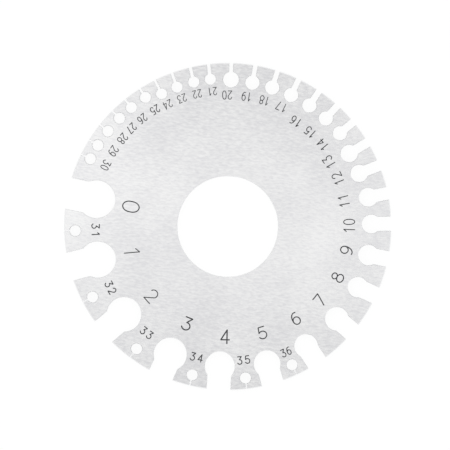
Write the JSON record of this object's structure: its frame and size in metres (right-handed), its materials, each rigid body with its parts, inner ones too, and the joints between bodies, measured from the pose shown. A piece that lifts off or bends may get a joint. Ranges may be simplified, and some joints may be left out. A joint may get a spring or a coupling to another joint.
{
  "type": "wire gauge plate",
  "caption": "Flat round steel gauge plate with a finger hole in the middle and keyhole slots of graded widths around its rim, for sizing wire and sheet metal.",
  "frame": {"origin": "on the axis of the finger hole, at the underside", "axes": "+Z out of the face that carries the numbers, +X towards gauge number 10, +Y towards gauge number 20, as the picture shows right and up"},
  "size_m": [0.0826, 0.0826, 0.002],
  "materials": {
    "plate_steel": "satin ground"
  },
  "bodies": {
    "root": {"gauge_plate": "plate_steel"}
  },
  "joints": []
}
